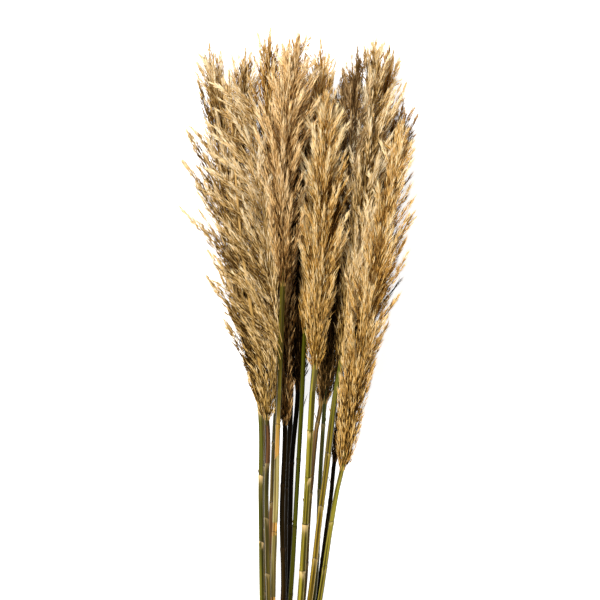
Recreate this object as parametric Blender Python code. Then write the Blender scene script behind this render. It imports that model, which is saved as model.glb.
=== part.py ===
"""A bunch of sixteen cut reeds, tied near its foot and lying on a table.

The frame is +X across the bunch, +Y along it from the cut ends to the plumes, and +Z up from the table.
Sizes in the tables below are millimetres. Each reed is a stem and the plume that it carries.
A reed runs forward along Y without turning back, so its centre line is a place (x, z) for every y.
"""

import math
from collections import namedtuple

import bmesh
import bpy
from mathutils import Vector

MM = 0.001

# Driving sizes of the whole bunch
CUT_Y = -360.0
TIE_Y = -288.0
TIE_X = -18.0
TIE_WIDTH = 7.0
TIE_TURNS = 3
SPLAY = 0.25
TWINE = 2.0
GAP = 0.35

# Stems lie in the tie in four rows: the height of each row's centres, and the step from place to place
TIE_ROWS = (4.7, 9.7, 14.7, 19.7)
TIE_STEP = 5.7

# Shape of a stem
STEM_SIDES = 6
JOINT_SWELL = 1.16
JOINT_HALF = 1.6
JOINT_ROOM = 12.0
BORE_SHARE = 0.55
BORE_DEPTH = 14.0

# Shape of a plume: half its width along its length, as shares of its length and of its greatest width
PLUME_SIDES = 8
PROFILE = (
    (0.0, 0.10),
    (0.08, 0.32),
    (0.22, 0.56),
    (0.42, 0.88),
    (0.58, 1.0),
    (0.75, 0.92),
    (0.90, 0.62),
    (0.96, 0.38),
    (1.0, 0.06),
)
PLUME_GAP = 1.4

# A plume's locks stand in tiers, each with a tip on every other side of the plume
TIER = 28.0
NOTCH_SHARE = 0.62
BETWEEN_SHARE = 0.72
TIP_PLACE = 0.82
BETWEEN_PLACE = 0.36

# A stray is a single branch that stands clear of its plume
STRAY_LENGTH = 62.0
STRAY_HALF = 3.4
STRAY_SIDES = 5

# stem: radius, row and place in the tie, then places (x, y) on the way up to the plume
# joints: y of the topmost joint, and the spacing of the joints below it
# base, middle and tip of the plume: x, y, z.  half: its greatest half width and half depth
# strays: tips of single branches that stand clear of the plume
Reed = namedtuple("Reed", "radius row place stem joints base middle tip half strays")

REEDS = {
    "01": Reed(
        2.3, 1, -2, ((-32.7, -128), (-33.6, -43)), (34, 57),
        (-34.9, 40, 50), (-61.2, 182, 56), (-77.4, 346, 54), (24, 22),
        ((-86.7, 317, 52), (-96.9, 276, 58), (-100.3, 250, 50)),
    ),
    "02": Reed(
        2.2, 3, -1, ((-26.8, -128), (-28.5, -43)), (-10, 48),
        (-28.1, 27, 90), (-50.0, 182, 93), (-60.0, 322, 86), (36, 23),
        ((-101.2, 209, 84), (-79.1, 151, 88), (-64.6, 114, 86)),
    ),
    "03": Reed(
        2.1, 1, -1, ((-25.9, -128), (-24.1, -43), (-21.3, 25)), (6, 52),
        (-19.6, 44, 42), (-27.2, 186, 46), (-25.5, 360, 46), (26, 21), (),
    ),
    "04": Reed(
        2.2, 3, 0, ((-23.0, -128), (-20.4, -43), (-19.1, 6)), (21, 92),
        (-14.5, 140, 100), (-12.8, 240, 102), (-0.9, 354, 90), (31, 21), (),
    ),
    "05": Reed(
        2.3, 2, -1.5, ((-14.5, -128), (-15.3, -54)), (-30, 55),
        (-12.8, 22, 62), (-18.0, 172, 68), (-9.0, 349, 62), (18, 19), (),
    ),
    "06": Reed(
        2.4, 0, -0.5, ((-11.5, -128), (-11.1, -54)), (-36, 50),
        (-7.7, 59, 15), (-11.0, 186, 15), (-4.0, 334, 18), (24, 20), (),
    ),
    "07": Reed(
        2.3, 1, 0, ((-9.4, -120), (-8.5, -60), (-6.8, -8)), (-12, 54),
        (-1.7, 50, 40), (0.0, 180, 52), (8.5, 318, 46), (21, 18), (),
    ),
    "08": Reed(
        2.1, 2, -0.5, ((-7.7, -120), (-2.6, -34), (1.7, 44)), (-8, 58),
        (4.3, 100, 62), (15.3, 200, 66), (17.9, 350, 62), (21, 19), (),
    ),
    "09": Reed(
        2.9, 3, 1, ((0.4, -126), (6.0, -35), (10.2, 44)), (17, 40),
        (12.4, 70, 94), (18.7, 182, 99), (23.0, 304, 88), (24, 21), ((39.9, 250, 98),),
    ),
    "10": Reed(
        2.2, 0, 0.5, ((3.4, -126), (7.7, -54), (13.3, 11)), (22, 60),
        (17.9, 38, 32), (28.1, 182, 15), (37.4, 326, 26), (24, 20), (),
    ),
    "11": Reed(
        2.0, 1, 1, ((12.8, -120), (17.0, -26), (19.6, 18)), (21, 56),
        (21.3, 40, 58), (37.5, 182, 56), (49.0, 342, 84), (25, 21), (),
    ),
    "12": Reed(
        2.6, 2, 0.5, ((8.8, -126), (17.4, -54), (23.0, -14), (29.8, 44)), (-4, 45),
        (34.9, 73, 72), (52.0, 195, 74), (65.0, 350, 58), (24, 20), ((86.7, 304, 74),),
    ),
    "13": Reed(
        2.0, 0, 1.5, ((11.0, -126), (19.0, -43)), (-20, 56),
        (32.0, 60, 24), (58.0, 180, 15), (77.0, 347, 34), (24, 20), ((91.0, 316, 42),),
    ),
    "14": Reed(
        2.3, 2, 1.5, ((17.4, -126), (25.9, -67), (31.5, -34)), (-62, 38),
        (35.7, -16, 76), (61.2, 136, 86), (87.6, 280, 72), (26, 21),
        ((96.9, 205, 80), (89.3, 181, 84)),
    ),
    "15": Reed(
        2.0, 1, 2, ((15.3, -126), (23.0, -67), (26.8, -38)), (-44, 50),
        (29.6, -10, 34), (56.0, 136, 40), (88.4, 296, 44), (25, 20),
        ((101.2, 289, 46), (86.7, 149, 44), (83.3, 132, 40)),
    ),
    "16": Reed(
        2.1, 0, -1.5, ((-30.4, -128), (-31.0, -43)), (-16, 54),
        (-33.2, 48, 20), (-52.0, 182, 16), (-46.5, 344, 42), (26, 20), (),
    ),
}

STEM_GREEN = (0.16, 0.15, 0.05)
PLUME_STRAW = (0.50, 0.34, 0.16)
TWINE_TAN = (0.42, 0.30, 0.17)


def through(knots, y):
    """The smooth curve through knots, pairs of y and value, read at y."""
    if y <= knots[0][0]:
        return knots[0][1]
    if y >= knots[-1][0]:
        return knots[-1][1]
    slopes = []
    for k in range(len(knots)):
        low, high = knots[max(k - 1, 0)], knots[min(k + 1, len(knots) - 1)]
        slopes.append((high[1] - low[1]) / (high[0] - low[0]))
    k = max(n for n in range(len(knots) - 1) if knots[n][0] <= y)
    (y0, v0), (y1, v1) = knots[k], knots[k + 1]
    span = y1 - y0
    t = (y - y0) / span
    return (
        (1 + 2 * t) * (1 - t) ** 2 * v0
        + t * (1 - t) ** 2 * span * slopes[k]
        + t * t * (3 - 2 * t) * v1
        + t * t * (t - 1) * span * slopes[k + 1]
    )


def between(points, t):
    """Straight lines through points, pairs of share and value, read at share t."""
    for (t0, v0), (t1, v1) in zip(points, points[1:]):
        if t <= t1:
            return v0 + (v1 - v0) * (t - t0) / (t1 - t0)
    return points[-1][1]


def centre(reed, y):
    """Where a reed's centre line is at y, as (x, z)."""
    tie_x, tie_z = TIE_X + TIE_STEP * reed.place, TIE_ROWS[reed.row]
    across = [(CUT_Y, tie_x + SPLAY * (tie_x - TIE_X)), (TIE_Y, tie_x)]
    across += [(along, x) for x, along in reed.stem]
    across += [(place[1], place[0]) for place in (reed.base, reed.middle, reed.tip)]
    up = [(CUT_Y, tie_z + SPLAY * (tie_z - TIE_ROWS[1])), (TIE_Y, tie_z)]
    up += [(place[1], place[2]) for place in (reed.base, reed.middle, reed.tip)]
    return through(across, y), through(up, y)


def half_sizes(reed, y):
    """A plume's half width and half depth at y, or the stem's radius where the plume hasn't begun."""
    low, high = reed.base[1], reed.tip[1]
    if y < low:
        return reed.radius, reed.radius
    share = between(PROFILE, (y - low) / (high - low))
    return reed.half[0] * share, reed.half[1] * share


def toward(sizes, x, z):
    """The radius of an ellipse with these half sizes in the direction (x, z)."""
    return 1 / math.hypot(x / sizes[0], z / sizes[1])


def room(name, y, angle):
    """How far plume name may reach at y in the direction angle: to its own edge, or to the wall halfway to
    each plume that it presses on, or to a stem that passes it."""
    reed = REEDS[name]
    x, z = centre(reed, y)
    across, up = math.cos(angle), math.sin(angle)
    sizes = half_sizes(reed, y)
    reach = toward(sizes, across, up)
    for other_name, other in REEDS.items():
        if other_name == name or y > other.tip[1]:
            continue
        other_x, other_z = centre(other, y)
        distance = math.hypot(other_x - x, other_z - z)
        to_x, to_z = (other_x - x) / distance, (other_z - z) / distance
        facing = across * to_x + up * to_z
        if facing <= 0.05:
            continue
        mine = toward(sizes, to_x, to_z)
        theirs = toward(half_sizes(other, y), to_x, to_z)
        if y < other.base[1]:
            wall = distance - theirs - PLUME_GAP / 2
        else:
            wall = (distance**2 + mine**2 - theirs**2) / (2 * distance)
        reach = min(reach, (wall - PLUME_GAP / 2) / facing)
    return max(reach, 0.6)


def place_at(name, y, angle, share):
    """A point of plume name at y, share of the way out to its edge, and never under the table."""
    x, z = centre(REEDS[name], y)
    out = share * room(name, y, angle)
    return Vector((x + out * math.cos(angle), y, max(z + out * math.sin(angle), 0.0)))


def new_object(name, build, colour, roughness):
    """An object at real size from a function that fills a mesh given in millimetres."""
    shape = bmesh.new()
    build(shape)
    bmesh.ops.scale(shape, vec=(MM, MM, MM), verts=shape.verts)
    bmesh.ops.recalc_face_normals(shape, faces=shape.faces)
    mesh = bpy.data.meshes.new(name)
    shape.to_mesh(mesh)
    shape.free()
    mesh.shade_smooth()
    mesh.set_sharp_from_angle(angle=math.radians(45))
    made = bpy.data.objects.new(name, mesh)
    bpy.context.scene.collection.objects.link(made)
    material = bpy.data.materials.new(name)
    material.use_nodes = True
    surface = material.node_tree.nodes["Principled BSDF"]
    surface.inputs["Base Color"].default_value = (*colour, 1)
    surface.inputs["Roughness"].default_value = roughness
    mesh.materials.append(material)
    return made


def join_to(body, added):
    """Makes one closed body of body and added, which stays behind as a hidden guide."""
    added.hide_render = True
    added.display_type = "WIRE"
    join = body.modifiers.new(added.name, "BOOLEAN")
    join.operation = "UNION"
    join.solver = "EXACT"
    join.use_self = True
    join.object = added


def loft(shape, rings, start=True, end=True):
    """Skins rings of points into the mesh, and caps its first and last ring."""
    made = [[shape.verts.new(point) for point in ring] for ring in rings]
    for low, high in zip(made, made[1:]):
        for k in range(len(low)):
            after = (k + 1) % len(low)
            shape.faces.new((low[k], low[after], high[after], high[k]))
    if start:
        shape.faces.new(list(reversed(made[0])))
    if end:
        shape.faces.new(made[-1])
    return made


def stray(shape, start, tip):
    """A slim closed spindle from start to tip, thickest before its middle."""
    along = tip - start
    side = along.cross(Vector((0.3, 0.2, 0.9))).normalized()
    other = along.normalized().cross(side)
    belly = start + 0.42 * along
    ring = []
    for k in range(STRAY_SIDES):
        angle = 2 * math.pi * k / STRAY_SIDES
        ring.append(shape.verts.new(belly + STRAY_HALF * (math.cos(angle) * side + math.sin(angle) * other)))
    foot, head = shape.verts.new(start), shape.verts.new(tip)
    for k in range(STRAY_SIDES):
        after = (k + 1) % STRAY_SIDES
        shape.faces.new((foot, ring[after], ring[k]))
        shape.faces.new((head, ring[k], ring[after]))


def stem_rings(reed):
    """The rings (y, radius) of a stem, swollen at each joint, from its cut foot to its plume."""
    top = reed.base[1] - GAP
    joint, spacing = reed.joints
    rings = [(CUT_Y, reed.radius), (top, 0.86 * reed.radius)]
    rings += [(TIE_Y + side * TIE_WIDTH, reed.radius) for side in (-1, 1)]
    while joint > CUT_Y + JOINT_ROOM:
        if abs(joint - TIE_Y) > JOINT_ROOM and joint < top - JOINT_ROOM:
            rings.append((joint - JOINT_HALF, 0.95 * reed.radius))
            rings.append((joint + JOINT_HALF, JOINT_SWELL * reed.radius))
        joint -= spacing
    return sorted(rings)


def circle(reed, y, radius):
    """A ring of points round a reed's centre line at y."""
    x, z = centre(reed, y)
    ring = []
    for k in range(STEM_SIDES):
        angle = 2 * math.pi * (k + 0.5) / STEM_SIDES
        ring.append(Vector((x + radius * math.cos(angle), y, z + radius * math.sin(angle))))
    return ring


def make_stem(name, reed):
    """A jointed stem with the open hollow of its lowest internode at the cut."""

    def build(shape):
        bore = BORE_SHARE * reed.radius
        rings = [circle(reed, CUT_Y + BORE_DEPTH, 0.8 * bore), circle(reed, CUT_Y, bore)]
        rings += [circle(reed, y, radius) for y, radius in stem_rings(reed)]
        loft(shape, rings)

    return new_object("stem_" + name, build, STEM_GREEN, 0.45)


def lock_tier(name, y, pitch, tier):
    """Two rings of one tier of locks: the notch at their feet, then their tips with lower points between."""
    turns = [2 * math.pi * (k + 0.5) / PLUME_SIDES for k in range(PLUME_SIDES)]
    notch = [place_at(name, y, turn, NOTCH_SHARE) for turn in turns]
    tips = []
    for k, turn in enumerate(turns):
        if (k + tier) % 2 == 0:
            tips.append(place_at(name, y + TIP_PLACE * pitch, turn, 1.0))
        else:
            tips.append(place_at(name, y + BETWEEN_PLACE * pitch, turn, BETWEEN_SHARE))
    return [notch, tips]


def add_strays(plume, name, reed):
    """Joins the branches that stand clear of a plume to it."""

    def build(shape):
        for x, y, z in reed.strays:
            foot = max(y - STRAY_LENGTH, reed.base[1] + 6)
            foot_x, foot_z = centre(reed, foot)
            stray(shape, Vector((foot_x, foot, foot_z)), Vector((x, y, z)))

    strays = new_object("strays_" + name, build, PLUME_STRAW, 0.9)
    join_to(plume, strays)


def make_plume(name, reed):
    """A plume: tier on tier of ascending pointed locks, grown together at their feet."""
    low, high = reed.base[1], reed.tip[1]
    count = round((high - low) / TIER)
    pitch = (high - low) / count

    def build(shape):
        rings = []
        for tier in range(count):
            rings += lock_tier(name, low + tier * pitch, pitch, tier)
        turns = [2 * math.pi * (k + 0.5) / PLUME_SIDES for k in range(PLUME_SIDES)]
        rings.append([place_at(name, high, turn, 1.0) for turn in turns])
        loft(shape, rings)

    plume = new_object("plume_" + name, build, PLUME_STRAW, 0.9)
    if reed.strays:
        add_strays(plume, name, reed)


def tie_outline(offset, count):
    """Points round the tied stems, offset outside a taut line that clears them over the tie's width."""
    stems = []
    for reed in REEDS.values():
        for y in (TIE_Y - TIE_WIDTH / 2, TIE_Y, TIE_Y + TIE_WIDTH / 2):
            stems.append((*centre(reed, y), reed.radius))
    found = []
    for k in range(count):
        angle = 2 * math.pi * k / count
        across, up = math.cos(angle), math.sin(angle)
        x, z, radius = max(stems, key=lambda stem: stem[0] * across + stem[1] * up + stem[2])
        found.append((x + (radius + offset) * across, z + (radius + offset) * up))
    return found


def make_tie():
    """Turns of twine side by side round the stems, with a flat knot on top."""
    count = 20
    pitch = TIE_WIDTH / TIE_TURNS
    section = [(TIE_WIDTH / 2, GAP), (-TIE_WIDTH / 2, GAP), (-TIE_WIDTH / 2, GAP + 0.3 * TWINE)]
    for turn in range(TIE_TURNS):
        section.append((-TIE_WIDTH / 2 + (turn + 0.5) * pitch, GAP + 0.85 * TWINE))
        section.append((-TIE_WIDTH / 2 + (turn + 1.0) * pitch, GAP + 0.3 * TWINE))
    outlines = {offset: tie_outline(offset, count) for offset in {offset for _, offset in section}}

    def build(shape):
        rings = []
        for k in range(count):
            rings.append(
                [Vector((outlines[h][k][0], TIE_Y + y, outlines[h][k][1])) for y, h in section]
            )
        made = [[shape.verts.new(point) for point in ring] for ring in rings]
        for k in range(count):
            low, high = made[k], made[(k + 1) % count]
            for n in range(len(section)):
                after = (n + 1) % len(section)
                shape.faces.new((low[n], low[after], high[after], high[n]))

    def build_knot(shape):
        bmesh.ops.create_icosphere(shape, subdivisions=1, radius=1)
        top = max(z for _, z in outlines[GAP + 0.85 * TWINE])
        bmesh.ops.scale(shape, vec=(4.6, 3.2, 1.9), verts=shape.verts)
        bmesh.ops.translate(shape, vec=(TIE_X, TIE_Y, top + 0.6), verts=shape.verts)

    tie = new_object("tie", build, TWINE_TAN, 0.9)
    knot = new_object("knot", build_knot, TWINE_TAN, 0.9)
    join_to(tie, knot)


def main():
    for old in list(bpy.data.objects):
        bpy.data.objects.remove(old)
    for name, reed in REEDS.items():
        make_stem(name, reed)
        make_plume(name, reed)
    make_tie()


main()
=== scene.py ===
"""The look of a bunch of sixteen dried reeds that lies tied on a table, seen from straight above.

The frame is the solids' own: +X across the bunch, +Y from the cut ends to the plumes, +Z up from the
table. Shapes are worked out in millimetres and made in metres. Each plume is a thicket of small keeled
blades on fine branches, each stem a tube with joints and leaf sheaths, and the tie is wound twine.
"""

import math
from collections import namedtuple

import bpy
import numpy as np
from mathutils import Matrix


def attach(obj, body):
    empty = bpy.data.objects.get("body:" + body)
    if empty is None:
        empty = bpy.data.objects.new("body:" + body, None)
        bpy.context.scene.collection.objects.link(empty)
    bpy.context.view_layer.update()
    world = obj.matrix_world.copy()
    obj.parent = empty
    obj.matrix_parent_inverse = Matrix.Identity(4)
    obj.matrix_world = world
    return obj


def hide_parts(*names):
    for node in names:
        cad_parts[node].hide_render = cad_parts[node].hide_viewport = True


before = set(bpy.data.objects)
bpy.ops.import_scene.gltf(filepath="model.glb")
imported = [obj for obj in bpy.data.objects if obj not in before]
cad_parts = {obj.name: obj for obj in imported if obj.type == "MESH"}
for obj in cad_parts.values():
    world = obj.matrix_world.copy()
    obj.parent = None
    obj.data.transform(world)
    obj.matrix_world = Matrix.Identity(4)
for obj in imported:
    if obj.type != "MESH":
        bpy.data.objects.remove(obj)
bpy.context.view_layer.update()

MM = 0.001
SEED = 20

# Layout of the bunch, in the same words and numbers as the solids' source
CUT_Y = -360.0
TIE_Y = -288.0
TIE_X = -18.0
TIE_WIDTH = 7.0
TIE_TURNS = 3
SPLAY = 0.25
TWINE = 2.0
TIE_ROWS = (4.7, 9.7, 14.7, 19.7)
TIE_STEP = 5.7
JOINT_ROOM = 12.0
BORE_SHARE = 0.55
BORE_DEPTH = 14.0
PROFILE = (
    (0.0, 0.10),
    (0.08, 0.32),
    (0.22, 0.56),
    (0.42, 0.88),
    (0.58, 1.0),
    (0.75, 0.92),
    (0.90, 0.62),
    (0.96, 0.38),
    (1.0, 0.06),
)
PLUME_GAP = 1.4
STRAY_LENGTH = 62.0

# A plume's least reach, and how far a direction must face a neighbour before that holds it back
LEAST_REACH = 0.6
LEAST_FACING = 0.05

# A direction that no path here runs along
ASIDE = np.array((0.13, 0.21, 0.97))

# The extent in v of the fan that closes a tube, and the range that all places in (u, v) stay in
CAP_V = 0.01
PLACE_RANGE = (0.004, 0.996)

# Edges sharper than this, in degrees, stay sharp on a smooth piece
SHARP_ANGLE = 50

# stem: radius, row and place in the tie, then places (x, y) on the way up to the plume
# joints: y of the topmost joint, and the spacing of the joints below it
# base, middle and tip of the plume: x, y, z.  half: its greatest half width and half depth
# strays: tips of single branches that stand clear of the plume
Reed = namedtuple("Reed", "radius row place stem joints base middle tip half strays")

REEDS = {
    "01": Reed(
        2.3, 1, -2, ((-32.7, -128), (-33.6, -43)), (34, 57),
        (-34.9, 40, 50), (-61.2, 182, 56), (-77.4, 346, 54), (24, 22),
        ((-86.7, 317, 52), (-96.9, 276, 58), (-100.3, 250, 50)),
    ),
    "02": Reed(
        2.2, 3, -1, ((-26.8, -128), (-28.5, -43)), (-10, 48),
        (-28.1, 27, 90), (-50.0, 182, 93), (-60.0, 322, 86), (36, 23),
        ((-101.2, 209, 84), (-79.1, 151, 88), (-64.6, 114, 86)),
    ),
    "03": Reed(
        2.1, 1, -1, ((-25.9, -128), (-24.1, -43), (-21.3, 25)), (6, 52),
        (-19.6, 44, 42), (-27.2, 186, 46), (-25.5, 360, 46), (26, 21), (),
    ),
    "04": Reed(
        2.2, 3, 0, ((-23.0, -128), (-20.4, -43), (-19.1, 6)), (21, 92),
        (-14.5, 140, 100), (-12.8, 240, 102), (-0.9, 354, 90), (31, 21), (),
    ),
    "05": Reed(
        2.3, 2, -1.5, ((-14.5, -128), (-15.3, -54)), (-30, 55),
        (-12.8, 22, 62), (-18.0, 172, 68), (-9.0, 349, 62), (18, 19), (),
    ),
    "06": Reed(
        2.4, 0, -0.5, ((-11.5, -128), (-11.1, -54)), (-36, 50),
        (-7.7, 59, 15), (-11.0, 186, 15), (-4.0, 334, 18), (24, 20), (),
    ),
    "07": Reed(
        2.3, 1, 0, ((-9.4, -120), (-8.5, -60), (-6.8, -8)), (-12, 54),
        (-1.7, 50, 40), (0.0, 180, 52), (8.5, 318, 46), (21, 18), (),
    ),
    "08": Reed(
        2.1, 2, -0.5, ((-7.7, -120), (-2.6, -34), (1.7, 44)), (-8, 58),
        (4.3, 100, 62), (15.3, 200, 66), (17.9, 350, 62), (21, 19), (),
    ),
    "09": Reed(
        2.9, 3, 1, ((0.4, -126), (6.0, -35), (10.2, 44)), (17, 40),
        (12.4, 70, 94), (18.7, 182, 99), (23.0, 304, 88), (24, 21), ((39.9, 250, 98),),
    ),
    "10": Reed(
        2.2, 0, 0.5, ((3.4, -126), (7.7, -54), (13.3, 11)), (22, 60),
        (17.9, 38, 32), (28.1, 182, 15), (37.4, 326, 26), (24, 20), (),
    ),
    "11": Reed(
        2.0, 1, 1, ((12.8, -120), (17.0, -26), (19.6, 18)), (21, 56),
        (21.3, 40, 58), (37.5, 182, 56), (49.0, 342, 84), (25, 21), (),
    ),
    "12": Reed(
        2.6, 2, 0.5, ((8.8, -126), (17.4, -54), (23.0, -14), (29.8, 44)), (-4, 45),
        (34.9, 73, 72), (52.0, 195, 74), (65.0, 350, 58), (24, 20), ((86.7, 304, 74),),
    ),
    "13": Reed(
        2.0, 0, 1.5, ((11.0, -126), (19.0, -43)), (-20, 56),
        (32.0, 60, 24), (58.0, 180, 15), (77.0, 347, 34), (24, 20), ((91.0, 316, 42),),
    ),
    "14": Reed(
        2.3, 2, 1.5, ((17.4, -126), (25.9, -67), (31.5, -34)), (-62, 38),
        (35.7, -16, 76), (61.2, 136, 86), (87.6, 280, 72), (26, 21),
        ((96.9, 205, 80), (89.3, 181, 84)),
    ),
    "15": Reed(
        2.0, 1, 2, ((15.3, -126), (23.0, -67), (26.8, -38)), (-44, 50),
        (29.6, -10, 34), (56.0, 136, 40), (88.4, 296, 44), (25, 20),
        ((101.2, 289, 46), (86.7, 149, 44), (83.3, 132, 40)),
    ),
    "16": Reed(
        2.1, 0, -1.5, ((-30.4, -128), (-31.0, -43)), (-16, 54),
        (-33.2, 48, 20), (-52.0, 182, 16), (-46.5, 344, 42), (26, 20), (),
    ),
}


def through(knots, y):
    """The smooth curve through knots, pairs of y and value, read at each y."""
    along, value = np.array(knots, float).T
    order = np.arange(len(along))
    low, high = np.maximum(order - 1, 0), np.minimum(order + 1, len(along) - 1)
    slope = (value[high] - value[low]) / (along[high] - along[low])
    y = np.clip(y, along[0], along[-1])
    k = np.clip(np.searchsorted(along, y, side="right") - 1, 0, len(along) - 2)
    span = along[k + 1] - along[k]
    t = (y - along[k]) / span
    return (
        (1 + 2 * t) * (1 - t) ** 2 * value[k]
        + t * (1 - t) ** 2 * span * slope[k]
        + t * t * (3 - 2 * t) * value[k + 1]
        + t * t * (t - 1) * span * slope[k + 1]
    )


def centre(reed, y):
    """Where a reed's centre line is at each y, as (x, z)."""
    tie_x, tie_z = TIE_X + TIE_STEP * reed.place, TIE_ROWS[reed.row]
    across = [(CUT_Y, tie_x + SPLAY * (tie_x - TIE_X)), (TIE_Y, tie_x)]
    across += [(along, x) for x, along in reed.stem]
    across += [(place[1], place[0]) for place in (reed.base, reed.middle, reed.tip)]
    up = [(CUT_Y, tie_z + SPLAY * (tie_z - TIE_ROWS[1])), (TIE_Y, tie_z)]
    up += [(place[1], place[2]) for place in (reed.base, reed.middle, reed.tip)]
    return through(across, y), through(up, y)


def half_sizes(reed, y):
    """A plume's half width and half depth at each y, or the stem's radius below the plume."""
    low, high = reed.base[1], reed.tip[1]
    share = np.interp((y - low) / (high - low), *np.array(PROFILE).T)
    return [np.where(y < low, reed.radius, half * share) for half in reed.half]


def toward(sizes, x, z):
    """The radius of an ellipse with these half sizes in the direction (x, z)."""
    return 1 / np.hypot(x / sizes[0], z / sizes[1])


def room(name, y, angle):
    """How far plume name may reach at each y and angle: its edge, or halfway to its neighbours."""
    reed = REEDS[name]
    x, z = centre(reed, y)
    across, up = np.cos(angle), np.sin(angle)
    sizes = half_sizes(reed, y)
    reach = toward(sizes, across, up)
    for other_name, other in REEDS.items():
        if other_name == name:
            continue
        other_x, other_z = centre(other, y)
        distance = np.hypot(other_x - x, other_z - z)
        to_x, to_z = (other_x - x) / distance, (other_z - z) / distance
        facing = across * to_x + up * to_z
        mine = toward(sizes, to_x, to_z)
        theirs = toward(half_sizes(other, y), to_x, to_z)
        halfway = (distance**2 + mine**2 - theirs**2) / (2 * distance)
        wall = np.where(y < other.base[1], distance - theirs - PLUME_GAP / 2, halfway)
        limit = (wall - PLUME_GAP / 2) / np.maximum(facing, LEAST_FACING)
        free = (facing <= LEAST_FACING) | (y > other.tip[1])
        reach = np.where(free, reach, np.minimum(reach, limit))
    return np.maximum(reach, LEAST_REACH)


def unit(vectors):
    """Vectors scaled to length one."""
    return vectors / np.linalg.norm(vectors, axis=-1, keepdims=True)


def across_pair(along):
    """Two unit vectors square to each vector and to each other."""
    first = unit(np.cross(along, ASIDE))
    return first, np.cross(along, first)


class Body:
    """Points in millimetres and triangles, with the place (u, v) of each triangle's corners."""

    def __init__(self):
        self.points, self.faces, self.places = [], [], []
        self.total = 0

    def add(self, points, faces, places):
        """Adds points, the triangles between them and the places of the triangles' corners."""
        points = np.asarray(points, float).reshape(-1, 3)
        self.points.append(points)
        self.faces.append(np.asarray(faces, int) + self.total)
        self.places.append(np.clip(np.asarray(places, float).reshape(-1, 2), *PLACE_RANGE))
        self.total += len(points)

    def settle(self, name, node, material, smooth):
        """Makes the mesh with its material, and puts it in place of a solid, which it hides."""
        mesh = bpy.data.meshes.new(name)
        faces = np.concatenate(self.faces)
        mesh.from_pydata((np.concatenate(self.points) * MM).tolist(), [], faces.tolist())
        mesh.materials.append(material)
        layer = mesh.uv_layers.new(name="OFBake")
        layer.data.foreach_set("uv", np.concatenate(self.places).astype(np.float32).ravel())
        if smooth:
            mesh.shade_smooth()
            mesh.set_sharp_from_angle(angle=math.radians(SHARP_ANGLE))
        mesh.update()
        piece = bpy.data.objects.new(name, mesh)
        bpy.context.scene.collection.objects.link(piece)
        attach(piece, "root")
        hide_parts(node)


def grid(rows, columns, u_range, v_rows, loop=False):
    """Triangles and corner places of closed rows of points. With loop the rows close on themselves too."""
    last = rows if loop else rows - 1
    n, k = (index.ravel() for index in np.meshgrid(np.arange(last), np.arange(columns), indexing="ij"))
    above, after = (n + 1) % rows, (k + 1) % columns
    here, there = n * columns, above * columns
    corners = np.stack([here + k, here + after, there + after, there + k], 1)
    u = u_range[0] + (u_range[1] - u_range[0]) * np.stack([k, k + 1, k + 1, k], 1) / columns
    v = np.asarray(v_rows, float)[np.stack([n, n, above, above], 1)]
    places = np.stack([u, v], 2)
    halves = ((0, 1, 2), (0, 2, 3))
    faces = np.concatenate([corners[:, half] for half in halves])
    return faces, np.concatenate([places[:, half] for half in halves])


def cap(start, columns, u_range, v, flip):
    """A fan of triangles that closes one row of points."""
    k = np.arange(1, columns - 1)
    zero = np.zeros_like(k)
    fan = np.stack([zero, k + 1, k] if flip else [zero, k, k + 1], 1)
    u = u_range[0] + (u_range[1] - u_range[0]) * fan / columns
    return fan + start, np.stack([u, v + CAP_V * (fan % 2)], 2)


def add_capped(body, points, u_range, v_rows, v_ends):
    """Adds a tube of closed rows of points, and a fan of its own at each end."""
    rows, columns = points.shape[:2]
    body.add(points, *grid(rows, columns, u_range, v_rows))
    body.add(points[0], *cap(0, columns, u_range, v_ends[0], True))
    body.add(points[-1], *cap(0, columns, u_range, v_ends[1], False))


def tubes(body, paths, radii, sides, u_range, v_range):
    """Adds closed tubes along paths [tube, step, xyz] with a radius at each step."""
    count, steps = radii.shape
    first, second = across_pair(unit(np.gradient(paths, axis=1)))
    angle = 2 * math.pi * np.arange(sides) / sides
    ring = np.cos(angle)[:, None] * first[:, :, None] + np.sin(angle)[:, None] * second[:, :, None]
    points = paths[:, :, None] + radii[:, :, None, None] * ring
    v_rows = np.linspace(*v_range, steps)
    parts = [grid(steps, sides, u_range, v_rows)]
    parts.append(cap(0, sides, u_range, v_range[0], True))
    parts.append(cap((steps - 1) * sides, sides, u_range, v_range[1] - CAP_V, False))
    faces = np.concatenate([part[0] for part in parts])
    places = np.concatenate([part[1] for part in parts])
    all_faces = faces + (np.arange(count) * steps * sides)[:, None, None]
    body.add(points, all_faces.reshape(-1, 3), np.tile(places, (count, 1, 1)))


# Materials


def linear(colour):
    """A colour given as 0 to 255 on a screen, in linear light."""
    share = np.asarray(colour, float) / 255
    return np.where(share <= 0.04045, share / 12.92, ((share + 0.055) / 1.055) ** 2.4)


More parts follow.
